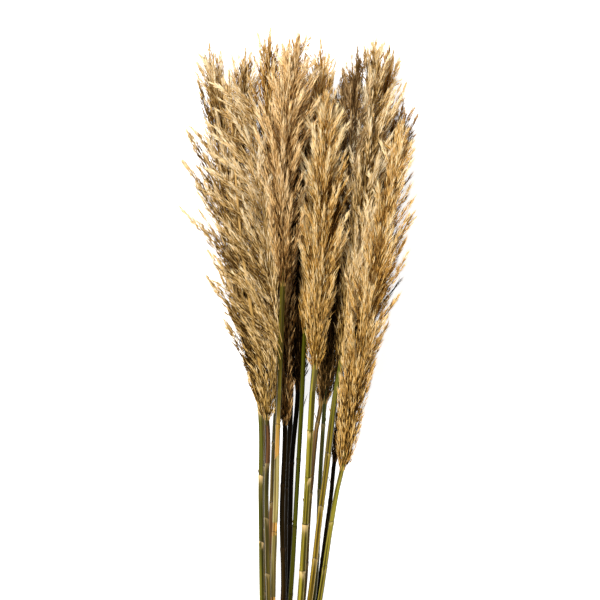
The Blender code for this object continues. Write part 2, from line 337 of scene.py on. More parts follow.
class Nodes:
    """A new material with short ways to add its nodes."""

    def __init__(self, name, roughness, specular):
        self.material = bpy.data.materials.new(name)
        self.material.use_nodes = True
        self.tree = self.material.node_tree
        self.shader = self.tree.nodes["Principled BSDF"]
        self.shader.inputs["Roughness"].default_value = roughness
        self.shader.inputs["Specular IOR Level"].default_value = specular
        place = self.tree.nodes.new("ShaderNodeUVMap")
        place.uv_map = "OFBake"
        parts = self.tree.nodes.new("ShaderNodeSeparateXYZ")
        self.tree.links.new(place.outputs["UV"], parts.inputs[0])
        self.u, self.v = parts.outputs["X"], parts.outputs["Y"]

    def put(self, value, socket):
        """Links a node's output to a socket, or sets the socket to a constant value."""
        if isinstance(value, bpy.types.NodeSocket):
            self.tree.links.new(value, socket)
        else:
            socket.default_value = value

    def math(self, operation, *values):
        """One step of arithmetic."""
        node = self.tree.nodes.new("ShaderNodeMath")
        node.operation = operation
        for value, socket in zip(values, node.inputs):
            self.put(value, socket)
        return node.outputs[0]

    def ramp(self, factor, stops, light=1.0):
        """A colour ramp with stops (place, colour on a screen), scaled in linear light."""
        node = self.tree.nodes.new("ShaderNodeValToRGB")
        elements = node.color_ramp.elements
        while len(elements) < len(stops):
            elements.new(0.5)
        for element, (place, colour) in zip(elements, stops):
            element.position = place
            element.color = (*(light * linear(colour)), 1)
        self.put(factor, node.inputs["Fac"])
        return node.outputs["Color"]

    def mix(self, factor, first, second, mode="MIX"):
        """A mix of two colours."""
        node = self.tree.nodes.new("ShaderNodeMix")
        node.data_type = "RGBA"
        node.blend_type = mode
        for value, place in ((factor, 0), (first, 6), (second, 7)):
            self.put(value, node.inputs[place])
        return node.outputs[2]

    def noise(self, across, along, seed, detail=3.0):
        """Noise on (u, v) with so many spots across and along."""
        where = self.tree.nodes.new("ShaderNodeCombineXYZ")
        self.put(self.math("MULTIPLY", self.u, float(across)), where.inputs[0])
        self.put(self.math("MULTIPLY", self.v, float(along)), where.inputs[1])
        where.inputs[2].default_value = seed
        node = self.tree.nodes.new("ShaderNodeTexNoise")
        node.inputs["Scale"].default_value = 1.0
        node.inputs["Detail"].default_value = detail
        self.put(where.outputs[0], node.inputs["Vector"])
        return node.outputs["Fac"]

    def bump(self, height, strength, distance):
        """Raises the surface where height is greater. The distance is in metres."""
        node = self.tree.nodes.new("ShaderNodeBump")
        node.inputs["Strength"].default_value = strength
        node.inputs["Distance"].default_value = distance
        self.put(height, node.inputs["Height"])
        self.put(node.outputs["Normal"], self.shader.inputs["Normal"])


def grey(value):
    """A grey in linear light."""
    return (value, value, value, 1)


def even(level):
    """A grey on a screen, 0 to 255."""
    return (level, level, level)


# Plume colours from the painted shade of the plume's inside to the bright points, near the plume's foot and
# near its tip
PLUME_LIGHT = np.array((0.775, 0.735, 0.66))
PLUME_STOPS = (0.0, 0.25, 0.5, 0.75, 1.0)
PALE = (
    ((24, 13, 0), (112, 80, 22), (194, 156, 80), (226, 188, 116), (246, 216, 158)),
    ((80, 52, 12), (184, 146, 86), (238, 204, 146), (252, 226, 176), (255, 242, 212)),
)
GOLD = (
    ((26, 14, 1), (138, 97, 30), (214, 166, 84), (228, 186, 108), (236, 204, 144)),
    ((84, 50, 12), (190, 140, 68), (238, 194, 118), (248, 218, 158), (252, 234, 192)),
)
PINK = (
    ((16, 7, 0), (104, 68, 24), (176, 128, 68), (212, 166, 100), (236, 196, 132)),
    ((96, 60, 22), (206, 160, 98), (246, 208, 148), (250, 220, 164), (255, 234, 194)),
)
BROWN = (
    ((20, 11, 0), (98, 70, 28), (168, 130, 72), (202, 164, 104), (224, 188, 132)),
    ((96, 70, 40), (148, 118, 76), (188, 156, 110), (214, 182, 136), (236, 210, 166)),
)
# The dark kind, for plumes 07 and 15 low at the back of the bunch, is partly painted shade and partly darker
# straw
DARK = (
    ((14, 6, 0), (32, 19, 5), (54, 37, 15), (84, 60, 31), (146, 112, 66)),
    ((60, 38, 14), (110, 78, 40), (160, 122, 74), (200, 160, 108), (232, 198, 148)),
)
PLUME_KINDS = {
    "plume_pale": PALE, "plume_gold": GOLD, "plume_pink": PINK, "plume_brown": BROWN, "plume_dark": DARK,
}
PLUME_SLOTS = {
    "01": "plume_pale", "02": "plume_pale", "03": "plume_gold", "04": "plume_pink", "05": "plume_pink",
    "06": "plume_brown", "07": "plume_dark", "08": "plume_gold", "09": "plume_gold", "10": "plume_brown",
    "11": "plume_brown", "12": "plume_pale", "13": "plume_gold", "14": "plume_gold", "15": "plume_dark",
    "16": "plume_pale",
}


def plume_material(name, kind):
    """Straw whose u runs from the painted shade of the inside to the bright points, and whose v runs from
    foot to tip.
    """
    nodes = Nodes(name, 0.72, 0.03)
    low, high = PLUME_KINDS[kind]
    foot = nodes.ramp(nodes.u, list(zip(PLUME_STOPS, low)), PLUME_LIGHT)
    tip = nodes.ramp(nodes.u, list(zip(PLUME_STOPS, high)), PLUME_LIGHT)
    nodes.put(nodes.mix(nodes.v, foot, tip), nodes.shader.inputs["Base Color"])
    roughness = nodes.math("MULTIPLY_ADD", nodes.noise(90, 60, 3.1), 0.3, 0.58)
    nodes.put(roughness, nodes.shader.inputs["Roughness"])
    return nodes.material


# Plumes are made of locks, branches full of blades that leave the plume's axis
LOCK_SPACING = 2.9
LOCK_LENGTH = 70.0
LOCK_HALF = 4.1

# Each lock leaves the axis this far round from the one before
GOLDEN_TURN = math.radians(137.5)

# How locks differ from one another
LENGTH_SPREAD = (0.7, 1.15)
HALF_SPREAD = (0.75, 1.2)
TURN_SPREAD = 0.25
TONE_SPREAD = 0.18

# Locks start this far below the plume's foot and over this share of its length, closer towards its tip
FOOT_BELOW = 4.0
FOOT_SPAN = 0.91
FOOT_CROWD = 0.88

# The share of their length and of their width that locks lose towards the plume's tip
SHORTER = 0.5
SLIMMER = 0.25

# Locks end at least this far below the plume's tip, and at most the scatter farther, mostly less
TIP_BELOW = 6.0
TIP_SCATTER = 28.0
TIP_CROWD = 1.5

# The share of locks that stay inside the plume, and how far out those and the others reach
INNER_SHARE = 0.25
INNER_REACH = (0.2, 0.6)
OUTER_REACH = (0.75, 1.0)

# How far locks press into their neighbours, and how much farther at the plume's tip
PRESS = 7.0
TIP_PRESS = 9.0

# How far below its own tip a lock reads its plume's width, so that heads are blunt
HEAD_FULLER = 7.0

# How locks curve outward on their way
LOCK_CURVE = 1.15

# Locks that end a plume: foot and end below its tip, turn, reach, half width and tone
LEADERS = (
    (46.0, 4.0, 0.0, 0.0, 2.6, 0.05),
    (58.0, 14.0, 0.0, 4.0, 3.4, 0.0),
    (66.0, 21.0, math.pi, 6.0, 3.6, 0.0),
)

# Short locks round a plume's foot
CUFF = 6
CUFF_BELOW = 1.5
CUFF_LENGTH = 36.0
CUFF_HALF = 3.0
CUFF_REACH = 0.75
CUFF_PRESS = 1.5
CUFF_TONE = -0.06

# Single branches that stand clear: thin and dark, from above the plume's foot to just short of their place
STRAY_HALF = 2.4
STRAY_TONE = -0.4
STRAY_FOOT = 6.0
STRAY_SHORT = 6.0
STRAY_REACH = 0.97

# Reeds whose strays are as thick as locks, and how many times thicker and fuller than others
FAN_SIDE = ("01", "02")
STRAY_MORE = 2

# Reeds whose locks leave the axis aside from its centre line: how far aside, and the share of their length.
# They reach it this far above the plume's foot
FAN = {"01": (6.0, 0.95), "02": (20.0, 0.74)}
FAN_RISE = 60.0

# The axis of a plume, and the fine branch inside each lock
AXIS_FOOT = 6.0
AXIS_TOP = 12.0
AXIS_ROWS = 40
AXIS_SIDES = 8
AXIS_SHARES = (0.84, 0.2)
BRANCH = 0.4
BRANCH_SIDES = 3
BRANCH_STEPS = np.array([0.0, 0.3, 0.65, 0.95])
BRANCH_TAPER = np.array([1.0, 0.85, 0.6, 0.3])

# Blades: a foot, a point, and two edges partway along that are set back from the keel
BLADES_PER_MM = 2.5
FEWEST_BLADES = 24
BLADE_LENGTH = (4.5, 11.5)
BLADE_WIDTH = (0.42, 0.92)
BLADE_FACES = np.array([(0, 2, 1), (0, 1, 3), (0, 3, 2), (1, 2, 3)])
EDGES_AT = 0.4
KEEL = 0.35

# Plumes on top of the bunch, and how many times fuller of blades they are
FRONT = ("01", "02", "04", "09", "12", "14")
FRONT_SHARE = 1.35

# Where along a lock its blades start, how far from a blade its way is read, and the lock's width
BLADES_FROM = 0.05
NEARBY = 0.03
LOCK_PROFILE = ((0, 0.3, 0.7, 1.0), (0.35, 1.0, 0.75, 0.08))

# How far blades lean out of their lock, and how their ways and their flats differ
LEAN = 0.3
LEAN_AT_END = 0.45
SHORTER_AT_END = 0.8
WAY_SPREAD = 0.09
FLAT_SPREAD = 0.5

# Blades stay this far above the floor, and branches below the bunch's top
FLOOR_CLEAR = 1.6
HIGHEST = 118.0

# A blade's shade, 0 for dark and 1 for bright, grows from the least one towards its plume's outside,
# along its lock and up its plume. The growth towards the outside and along the lock is painted shade:
# dark inside the plume and at the feet of the locks, between them
SHADE_LEAST = -0.13
PAINTED_INSIDE_SHADE = 0.56
PAINTED_LOCK_FOOT_SHADE = 0.36
SHADE_UP = 0.18
EDGE_ROOM = 2.0
MOST_OUT = 1.1
ALONG_CURVE = 1.4

# Blades drawn below the first number are darker, and above the second brighter: by how much
DARK_BELOW = 0.27
DARKER = -0.36
BRIGHT_ABOVE = 0.84
BRIGHTER = 0.24
SHADE_SPREAD = 0.2
HEIGHT_SPREAD = 0.12

# How much darker blades get near the plume's foot, and within what share of its length
FOOT_DARKER = 0.14
FOOT_DARK = 0.1

# How far shades are spread from their middle one
CONTRAST = 1.16
MIDDLE_SHADE = 0.5

# Painted shade: how much darker blades get under higher plumes: by height, by distance to the side, and at
# most
PAINTED_SHADE_UNDER_PLUMES = 0.24
COVER_DEPTH = 40.0
COVER_WIDTH = 24.0
COVER_MOST = 1.4

# The shades of a blade's foot and of its point next to its own, and how far apart its edges are in v
FOOT_SHADE = -0.12
POINT_SHADE = 0.16
EDGE_V = 0.02

# How fast a blade's place in v grows with its height, and its range
HEIGHT_GAIN = 1.2
HEIGHT_RANGE = (0.03, 0.95)

# Plumes that are brighter or darker than their colours: partly their own tone, partly painted light that
# lifts plumes lying in the shadow of others, such as 05 and 16 under plume 02
PLUME_TONE_AND_PAINTED_LIGHT = {
    "01": 0.15, "02": 0.21, "03": 0.15, "04": 0.17, "05": 0.11, "08": 0.3, "09": 0.22,
    "10": 0.32, "11": -0.1, "12": 0.2, "13": 0.34, "14": 0.22, "16": 0.14,
}

# A stem that lies on top of a plume, and how far to its sides and below it no blade stands
CROSSING = {"02": "04"}
CROSSING_ROOM = 3.4
CROSSING_DEPTH = 1.0

Locks = namedtuple("Locks", "foot tip turn out half tone aside")


def lay_locks(name, rng):
    """The locks of a plume: where each leaves the axis and ends, its turn and how far out it reaches."""
    reed = REEDS[name]
    low, high = reed.base[1], reed.tip[1]
    aside, longer = FAN.get(name, (0.0, 1.0))
    count = round((high - low) / LOCK_SPACING)
    share = ((np.arange(count) + 0.5) / count) ** FOOT_CROWD
    foot = low - FOOT_BELOW + FOOT_SPAN * (high - low) * share
    length = longer * LOCK_LENGTH * (1 - SHORTER * share) * rng.uniform(*LENGTH_SPREAD, count)
    scatter = TIP_SCATTER * rng.uniform(0, 1, count) ** TIP_CROWD
    tip = np.minimum(foot + length, high - TIP_BELOW - scatter)
    turn = np.arange(count) * GOLDEN_TURN + rng.normal(0, TURN_SPREAD, count)
    inner = rng.uniform(size=count) < INNER_SHARE
    reach = np.where(inner, rng.uniform(*INNER_REACH, count), rng.uniform(*OUTER_REACH, count))
    edge = toward(half_sizes(reed, tip - HEAD_FULLER), np.cos(turn), np.sin(turn))
    out = reach * np.minimum(edge, room(name, tip, turn) + PRESS + TIP_PRESS * share**2)
    half = LOCK_HALF * (1 - SLIMMER * share) * rng.uniform(*HALF_SPREAD, count)
    tone = rng.normal(0, TONE_SPREAD, count)
    locks = [foot, tip, turn, out, half, tone, np.full(count, aside)]
    kinds = (locks, lay_leaders(reed, rng), lay_cuff(name), lay_strays(name))
    return Locks(*[np.concatenate(parts) for parts in zip(*kinds)])


def lay_leaders(reed, rng):
    """The locks that end a plume, in the order of a Locks tuple."""
    foot, tip, turn, out, half, tone = np.array(LEADERS).T
    high = reed.tip[1]
    return [high - foot, high - tip, rng.uniform(0, 2 * math.pi) + turn, out, half, tone, 0 * tone]


def lay_cuff(name):
    """The short locks round a plume's foot, in the order of a Locks tuple."""
    reed = REEDS[name]
    turn = 2 * math.pi * np.arange(CUFF) / CUFF
    some = np.ones(CUFF)
    foot, tip = (reed.base[1] - CUFF_BELOW) * some, (reed.base[1] + CUFF_LENGTH) * some
    edge = toward(half_sizes(reed, tip), np.cos(turn), np.sin(turn))
    out = CUFF_REACH * np.minimum(edge, room(name, tip, turn) + CUFF_PRESS)
    return [foot, tip, turn, out, CUFF_HALF * some, CUFF_TONE * some, 0 * some]


def lay_strays(name):
    """The single branches that stand clear of a plume, in the order of a Locks tuple."""
    reed = REEDS[name]
    if not reed.strays:
        return [np.zeros(0)] * len(Locks._fields)
    x, y, z = np.array(reed.strays, float).T
    axis_x, axis_z = centre(reed, y)
    foot = np.maximum(y - STRAY_LENGTH, reed.base[1] + STRAY_FOOT)
    turn = np.arctan2(z - axis_z, x - axis_x)
    out = STRAY_REACH * np.hypot(x - axis_x, z - axis_z)
    some = np.ones(len(x))
    half = STRAY_HALF * (STRAY_MORE if name in FAN_SIDE else 1)
    return [foot, y - STRAY_SHORT, turn, out, half * some, STRAY_TONE * some, 0 * some]


def axis_radius(reed, y):
    """The radius of a plume's axis at each y."""
    return reed.radius * np.interp(y, (reed.base[1], reed.tip[1] - AXIS_TOP), AXIS_SHARES)


def lock_point(reed, locks, k, t):
    """The point at share t along each lock k, which leaves from the side of the axis."""
    y = locks.foot[k] + t * (locks.tip[k] - locks.foot[k])
    out = locks.out[k] * t**LOCK_CURVE + axis_radius(reed, locks.foot[k]) * (1 - t)
    x, z = centre(reed, y)
    x = x + locks.aside[k] * (1 - t) * np.clip((y - reed.base[1]) / FAN_RISE, 0, 1)
    z = np.clip(z + out * np.sin(locks.turn[k]), 2 * FLOOR_CLEAR, HIGHEST)
    return np.stack([x + out * np.cos(locks.turn[k]), y, z], -1)


def blades(start, way, flat, length, width):
    """Points of small keeled blades: foot, point, and a left and right edge set back from the keel."""
    side = unit(np.cross(way, flat))
    back = np.cross(side, way)
    belly = start + EDGES_AT * length[:, None] * way - KEEL * width[:, None] * back
    half = 0.5 * width[:, None] * side
    return np.stack([start, start + length[:, None] * way, belly + half, belly - half], 1)


def above_floor(start, way, length):
    """The feet and ways of blades, raised where a blade would go under the floor."""
    start[:, 2] = np.maximum(start[:, 2], FLOOR_CLEAR)
    sinks = start[:, 2] + length * way[:, 2] < FLOOR_CLEAR
    way[sinks, 2] = (FLOOR_CLEAR - start[sinks, 2]) / length[sinks]
    return start, unit(way)


def clear_of_stem(reed, points):
    """Which points are not over a reed's stem."""
    x, z = centre(reed, points[:, 1])
    beside = (np.abs(points[:, 0] - x) < CROSSING_ROOM) & (points[:, 1] < reed.base[1])
    return ~(beside & (points[:, 2] > z - CROSSING_DEPTH))


def grow_blades(name, rng, locks):
    """The points of a plume's blades, and for each blade its lock k and its share t along that lock."""
    reed = REEDS[name]
    density = BLADES_PER_MM * (FRONT_SHARE if name in FRONT else 1.0)
    count = np.maximum((locks.tip - locks.foot) * density, FEWEST_BLADES).astype(int)
    if name in FAN_SIDE:
        count[-len(reed.strays):] *= STRAY_MORE
    k = np.repeat(np.arange(len(count)), count)
    total = len(k)
    t = rng.uniform(BLADES_FROM, 1.0, total)
    point = lock_point(reed, locks, k, t)
    ahead, behind = np.minimum(t + NEARBY, 1.0), t - NEARBY
    along = unit(lock_point(reed, locks, k, ahead) - lock_point(reed, locks, k, behind))
    first, second = across_pair(along)
    around = rng.uniform(0, 2 * math.pi, total)[:, None]
    radial = np.cos(around) * first + np.sin(around) * second
    spread = np.sqrt(rng.uniform(0, 1, total))
    start = point + (locks.half[k] * np.interp(t, *LOCK_PROFILE) * spread)[:, None] * radial
    lean = (LEAN * spread * np.interp(t, (0, 1), (1.0, LEAN_AT_END)))[:, None]
    way = unit(along + lean * radial + rng.normal(0, WAY_SPREAD, (total, 3)))
    length = rng.uniform(*BLADE_LENGTH, total) * np.interp(t, (0, 1), (1.0, SHORTER_AT_END))
    width = rng.uniform(*BLADE_WIDTH, total)
    flat = unit(radial + rng.normal(0, FLAT_SPREAD, (total, 3)))
    start, way = above_floor(start, way, length)
    points = blades(start, way, flat, length, width)
    if name in CROSSING:
        clear = clear_of_stem(REEDS[CROSSING[name]], points.mean(axis=1))
        points, k, t = points[clear], k[clear], t[clear]
    return points, k, t


def cover(name, points):
    """How deep points lie among higher plumes, for their painted shade: 0 in the open, and COVER_MOST at
    most.
    """
    total = np.zeros(len(points))
    for other_name, other in REEDS.items():
        if other_name != name:
            x, z = centre(other, points[:, 1])
            beside = (points[:, 1] > other.base[1]) & (points[:, 1] < other.tip[1])
            above = np.maximum(z - points[:, 2], 0) / COVER_DEPTH
            total += beside * above * np.exp(-(((points[:, 0] - x) / COVER_WIDTH) ** 2))
    return np.minimum(total, COVER_MOST)


def shade_blades(name, rng, middle, t, tone):
    """Each blade's shade, partly painted shade and partly its own tone, and its height from the plume's foot
    to its tip, from the blades' middles.
    """
    reed = REEDS[name]
    total = len(middle)
    x, z = centre(reed, middle[:, 1])
    angle = np.arctan2(middle[:, 2] - z, middle[:, 0] - x)
    edge = room(name, middle[:, 1], angle) + EDGE_ROOM
    outside = np.clip(np.hypot(middle[:, 0] - x, middle[:, 2] - z) / edge, 0, MOST_OUT)
    # Painted shade: darker inside the plume and at the feet of its locks
    shade = SHADE_LEAST + PAINTED_INSIDE_SHADE * outside**2 + PAINTED_LOCK_FOOT_SHADE * t**ALONG_CURVE
    shade += PLUME_TONE_AND_PAINTED_LIGHT.get(name, 0.0) + tone + rng.normal(0, SHADE_SPREAD, total)
    kind = rng.uniform(size=total)
    shade += np.where(kind < DARK_BELOW, DARKER, 0) + np.where(kind > BRIGHT_ABOVE, BRIGHTER, 0)
    height = (middle[:, 1] - reed.base[1]) / (reed.tip[1] - reed.base[1])
    height += rng.normal(0, HEIGHT_SPREAD, total)
    shade += SHADE_UP * height - FOOT_DARKER * np.exp(-((height / FOOT_DARK) ** 2))
    # Spreads the shades from the middle one, then paints shade under higher plumes
    shade = CONTRAST * (shade - MIDDLE_SHADE) + MIDDLE_SHADE - PAINTED_SHADE_UNDER_PLUMES * cover(name, middle)
    return shade, np.clip(HEIGHT_GAIN * height, *HEIGHT_RANGE)


def add_blades(body, points, shade, height):
    """Adds blades, each darker at its foot and bright at its point."""
    u = np.stack([shade + FOOT_SHADE, shade + POINT_SHADE, shade, shade], 1)
    v = np.stack([height, height, height + EDGE_V, height - EDGE_V], 1)
    corners = np.stack([np.clip(u, 0.01, 0.99), v], 2)
    faces = (np.arange(len(points))[:, None, None] * 4 + BLADE_FACES).reshape(-1, 3)
    body.add(points, faces, corners[:, BLADE_FACES.ravel()])


def add_branches(body, reed, locks):
    """Adds the plume's axis and the fine branch inside each lock."""
    y = np.linspace(reed.base[1] + AXIS_FOOT, reed.tip[1] - AXIS_TOP, AXIS_ROWS)
    x, z = centre(reed, y)
    axis, radius = np.stack([x, y, z], 1)[None], axis_radius(reed, y)[None]
    tubes(body, axis, radius, AXIS_SIDES, (0.25, 0.42), (0.1, 0.8))
    k = np.arange(len(locks.foot))[:, None]
    paths = lock_point(reed, locks, k, BRANCH_STEPS[None, :])
    radii = np.tile(BRANCH * BRANCH_TAPER, (len(k), 1))
    tubes(body, paths, radii, BRANCH_SIDES, (0.3, 0.6), (0.2, 0.7))


def make_plume(name):
    """One plume: its axis, branches and locks of blades."""
    rng = np.random.default_rng(SEED + int(name))
    locks = lay_locks(name, rng)
    points, k, t = grow_blades(name, rng, locks)
    shade, height = shade_blades(name, rng, points.mean(axis=1), t, locks.tone[k])
    body = Body()
    add_branches(body, REEDS[name], locks)
    add_blades(body, points, shade, height)
    kind = PLUME_SLOTS[name]
    material = plume_material("plume_" + name, kind)
    body.settle("plume_" + name + "_locks", "plume_" + name, material, False)


# Looks of the stems: the slot, how much of the pale bloom under its joints shows, the colour of its
# sheaths, and the culm's colours from foot to plume as (y, colour). The dark slot, for stems at the back of
# the bunch, is partly painted shade and partly darker culms
STEM_LIGHT = 0.42
StemLook = namedtuple("StemLook", "slot bloom sheath colours")
STEM_LOOKS = {
    "01": StemLook(
        "stem_green", 0.9, (172, 128, 62),
        ((-360, (140, 122, 34)), (-120, (112, 108, 24)), (-60, (96, 96, 20)), (60, (104, 102, 24))),
    ),
    "02": StemLook(
        "stem_tan", 0.5, (140, 94, 50),
        ((-360, (120, 98, 34)), (-20, (74, 70, 16)), (40, (92, 78, 20))),
    ),
    "03": StemLook(
        "stem_tan", 0.4, (168, 118, 62),
        ((-360, (130, 98, 40)), (-60, (116, 88, 30)), (40, (98, 98, 24))),
    ),
    "04": StemLook(
        "stem_tan", 0.25, (255, 206, 124),
        ((-360, (250, 190, 104)), (0, (236, 176, 86)), (40, (140, 126, 34)), (130, (128, 118, 28))),
    ),
    "05": StemLook("stem_dark", 0.5, (80, 56, 26), ((-360, (70, 50, 18)), (30, (44, 31, 10)))),
    "06": StemLook("stem_dark", 0.4, (60, 42, 20), ((-360, (50, 36, 14)), (60, (24, 17, 5)))),
    "07": StemLook("stem_dark", 0.4, (54, 38, 18), ((-360, (46, 34, 14)), (60, (20, 14, 4)))),
    "08": StemLook(
        "stem_dark", 0.6, (100, 76, 28),
        ((-360, (84, 76, 18)), (0, (74, 76, 12)), (100, (92, 92, 18))),
    ),
    "09": StemLook(
        "stem_green", 0.9, (190, 158, 62),
        ((-360, (178, 152, 46)), (0, (156, 146, 34)), (70, (150, 144, 34))),
    ),
    "10": StemLook(
        "stem_tan", 0.4, (196, 146, 76),
        ((-360, (158, 118, 46)), (-30, (104, 86, 26)), (40, (148, 114, 44))),
    ),
    "11": StemLook(
        "stem_green", 0.5, (124, 102, 34),
        ((-360, (96, 86, 22)), (-60, (64, 72, 12)), (40, (66, 78, 12))),
    ),
    "12": StemLook(
        "stem_green", 0.5, (196, 154, 62),
        ((-360, (186, 148, 44)), (-60, (172, 142, 36)), (60, (96, 100, 18))),
    ),
    "13": StemLook("stem_tan", 0.4, (158, 114, 50), ((-360, (138, 100, 38)), (40, (110, 82, 28)))),
    "14": StemLook("stem_green", 0.5, (184, 152, 66), ((-360, (166, 142, 42)), (-20, (150, 142, 38)))),
    "15": StemLook("stem_dark", 0.4, (66, 46, 22), ((-360, (54, 40, 16)), (0, (36, 27, 9)))),
    "16": StemLook("stem_green", 0.5, (142, 108, 44), ((-360, (124, 98, 32)), (40, (98, 84, 22)))),
}
CUT_COLOURS = ((196, 168, 116), (210, 184, 134))
GOLDEN = (214, 170, 88)
CREAM = (236, 200, 138)
SHADED_DARK_CREAM = (78, 56, 32)

STEM_SIDES = 12
STEM_STEP = 9.0
STEM_SLIMMER = 0.9
CULM_REACH = 14.0

# A stem swells under each joint and is drawn in above it: the share, its distance from the joint, its width
JOINT_WAVES = ((0.12, -0.9, 1.7), (-0.05, 1.6, 0.9))
JOINT_ROWS = (-4.6, -3.0, -1.8, -0.9, 0.1, 0.8, 1.6, 2.6, 4.0)

# The cut end from the bottom of its bore to its rim: rows above the cut, and their places in v
CUT_ROWS = np.array((BORE_DEPTH, 0.5, 0.0, 0.02))
CUT_V_ROWS = (0.0, 0.008, 0.011, 0.016)
CUT_RIM = 0.25
CUT_V = 0.02
TOP_V = 0.99

# Culms take the lower part of u, and sheaths the upper part
CULM_RANGE = (0.01, 0.60)
SHEATH_FROM = 0.62
SHEATH_RANGE = (0.64, 0.99)

# Sheaths: sleeves that stand off their stem by the lift along their length, their top edge aslant and torn
SHEATH_SIDES = 12
SHEATH_ROWS = 7
SHEATH_LIFT = ((0, 0.1, 0.85, 1), (0.16, 0.34, 0.28, 0.14))
SHEATH_INSIDE = 0.03
SHEATH_SLANT = 3.0
SHEATH_TORN = 0.9
SHEATH_SHARE = (0.35, 0.6)
SHEATH_ABOVE = 1.4
SHEATHS_BELOW = -135.0

# Sheaths that show between the plumes and y -128: foot and top
SHEATHS = {
    "02": ((-11, 24),),
    "03": ((-90, -48),),
    "04": ((-62, -6), (-126, -72)),
    "10": ((-36, 14),),
    "13": ((-70, -40),),
}

# Torn bits of leaf that stand off a stem: foot, length, and their turn round the stem
LEAF_BITS = {
    "01": ((-22, 6, 2.6),), "08": ((35, 14, 0.3), (-64, 6, 3.0)), "09": ((-45, 7, 2.8), (-24, 5, 0.4)),
    "10": ((24, 8, 2.7),), "11": ((22, 6, 0.5),), "12": ((30, 9, 2.8), (-50, 5, 0.2)),
    "14": ((-64, 5, 2.9),), "15": ((-30, 8, 3.0),),
}
LEAF_WIDTH = 1.6
LEAF_LEAN = 0.3
LEAF_FOOT = 0.85

# How far aslant the rings at joints lie, and where the topmost internode stops, so that it has no bloom
RING_SLANT = 0.9
LAST_INTERNODE = 0.8

# The pale bloom under a joint: how far below it in millimetres, and how strong, 0 to 255
BLOOM = ((11, 0), (7, 90), (1.5, 225))
BLOOM_MOST = 235


def stem_joints(reed):
    """The places y of a stem's joints, from the topmost down, clear of the tie and of the plume."""
    joint, spacing = reed.joints
    found = []
    while joint > CUT_Y + JOINT_ROOM:
        if abs(joint - TIE_Y) > JOINT_ROOM and joint < reed.base[1] - JOINT_ROOM:
            found.append(joint)
        joint -= spacing
    return found


def stem_radius(reed, y):
    """A stem's radius at each y: slimmer towards the plume, with a swelling and a neck at each joint."""
    radius = reed.radius * np.interp(y, (CUT_Y, reed.base[1]), (1.0, STEM_SLIMMER))
    for joint in stem_joints(reed):
        for share, offset, width in JOINT_WAVES:
            radius = radius * (1 + share * np.exp(-(((y - joint - offset) / width) ** 2)))
    return radius


def stem_v(reed, y):
    """Where y stands in a stem's colours, above the share kept for its cut end."""
    return CUT_V + (TOP_V - CUT_V) * (y - CUT_Y) / (reed.base[1] + CULM_REACH - CUT_Y)


def rings(reed, y, radius, angle):
    """Points round a reed's centre line at each y, whose shape radius and angle are spread over."""
    x, z = centre(reed, y)
    return np.stack([x + radius * np.cos(angle), y, z + radius * np.sin(angle)], -1)


def add_culm(body, reed):
    """Adds the jointed tube of a stem, hollow at its cut end."""
    top = reed.base[1] + CULM_REACH
    y = list(np.arange(CUT_Y + 1.5, top, STEM_STEP)) + [CUT_Y, top]
    for joint in stem_joints(reed):
        y += [joint + row for row in JOINT_ROWS]
    y = np.unique(np.round(np.clip(y, CUT_Y, top), 2))
    radius = stem_radius(reed, y)
    bore = BORE_SHARE * reed.radius
    y_rows = np.concatenate([CUT_Y + CUT_ROWS, y[1:]])
    radii = np.concatenate([[0.8 * bore, bore, bore + 0.2, radius[0] - CUT_RIM], radius[1:]])
    v_rows = np.concatenate([CUT_V_ROWS, stem_v(reed, y[1:])])
    angle = -math.pi / 2 - 2 * math.pi * np.arange(STEM_SIDES) / STEM_SIDES
    y_grid = np.broadcast_to(y_rows[:, None], (len(y_rows), STEM_SIDES))
    points = rings(reed, y_grid, radii[:, None], angle[None, :])
    add_capped(body, points, CULM_RANGE, v_rows, (0.0, TOP_V - CAP_V))


def add_sheath(body, reed, foot, length, rng):
    """Adds one leaf sheath: a thin sleeve from a joint up, its top edge cut aslant and a little torn."""
    share = np.linspace(0, 1, SHEATH_ROWS)
    share = np.concatenate([share, share[::-1]])[:, None]
    angle = (-math.pi / 2 - 2 * math.pi * np.arange(SHEATH_SIDES) / SHEATH_SIDES)[None, :]
    slant = SHEATH_SLANT * np.cos(angle - rng.uniform(0, 2 * math.pi))
    torn = rng.uniform(-SHEATH_TORN, SHEATH_TORN, SHEATH_SIDES)
    y = foot + share * (length + (slant + torn))
    inside = np.arange(2 * SHEATH_ROWS)[:, None] >= SHEATH_ROWS
    lift = np.where(inside, SHEATH_INSIDE, np.interp(share, *SHEATH_LIFT))
    points = rings(reed, y, stem_radius(reed, y) + lift, angle)
    body.add(points, *grid(*y.shape, SHEATH_RANGE, stem_v(reed, y[:, 0]), True))


def add_leaf_bit(body, reed, foot, length, turn):
    """Adds a torn bit of leaf: a small keeled blade that leans away from the stem."""
    x, z = centre(reed, np.array([float(foot)]))
    out = np.array([[math.cos(turn), 0, math.sin(turn)]])
    start = np.stack([x, [foot], z], 1) + LEAF_FOOT * reed.radius * out
    way = unit(np.array([[0.0, 1.0, 0.0]]) + LEAF_LEAN * out)
    points = blades(start, way, out, np.array([float(length)]), np.array([LEAF_WIDTH]))
    edges = foot + EDGES_AT * length
    v = stem_v(reed, np.array([foot, foot + length, edges, edges]))
    corners = np.stack([np.array([0.7, 0.78, 0.72, 0.8]), v], 1)
    body.add(points, BLADE_FACES, corners[BLADE_FACES])


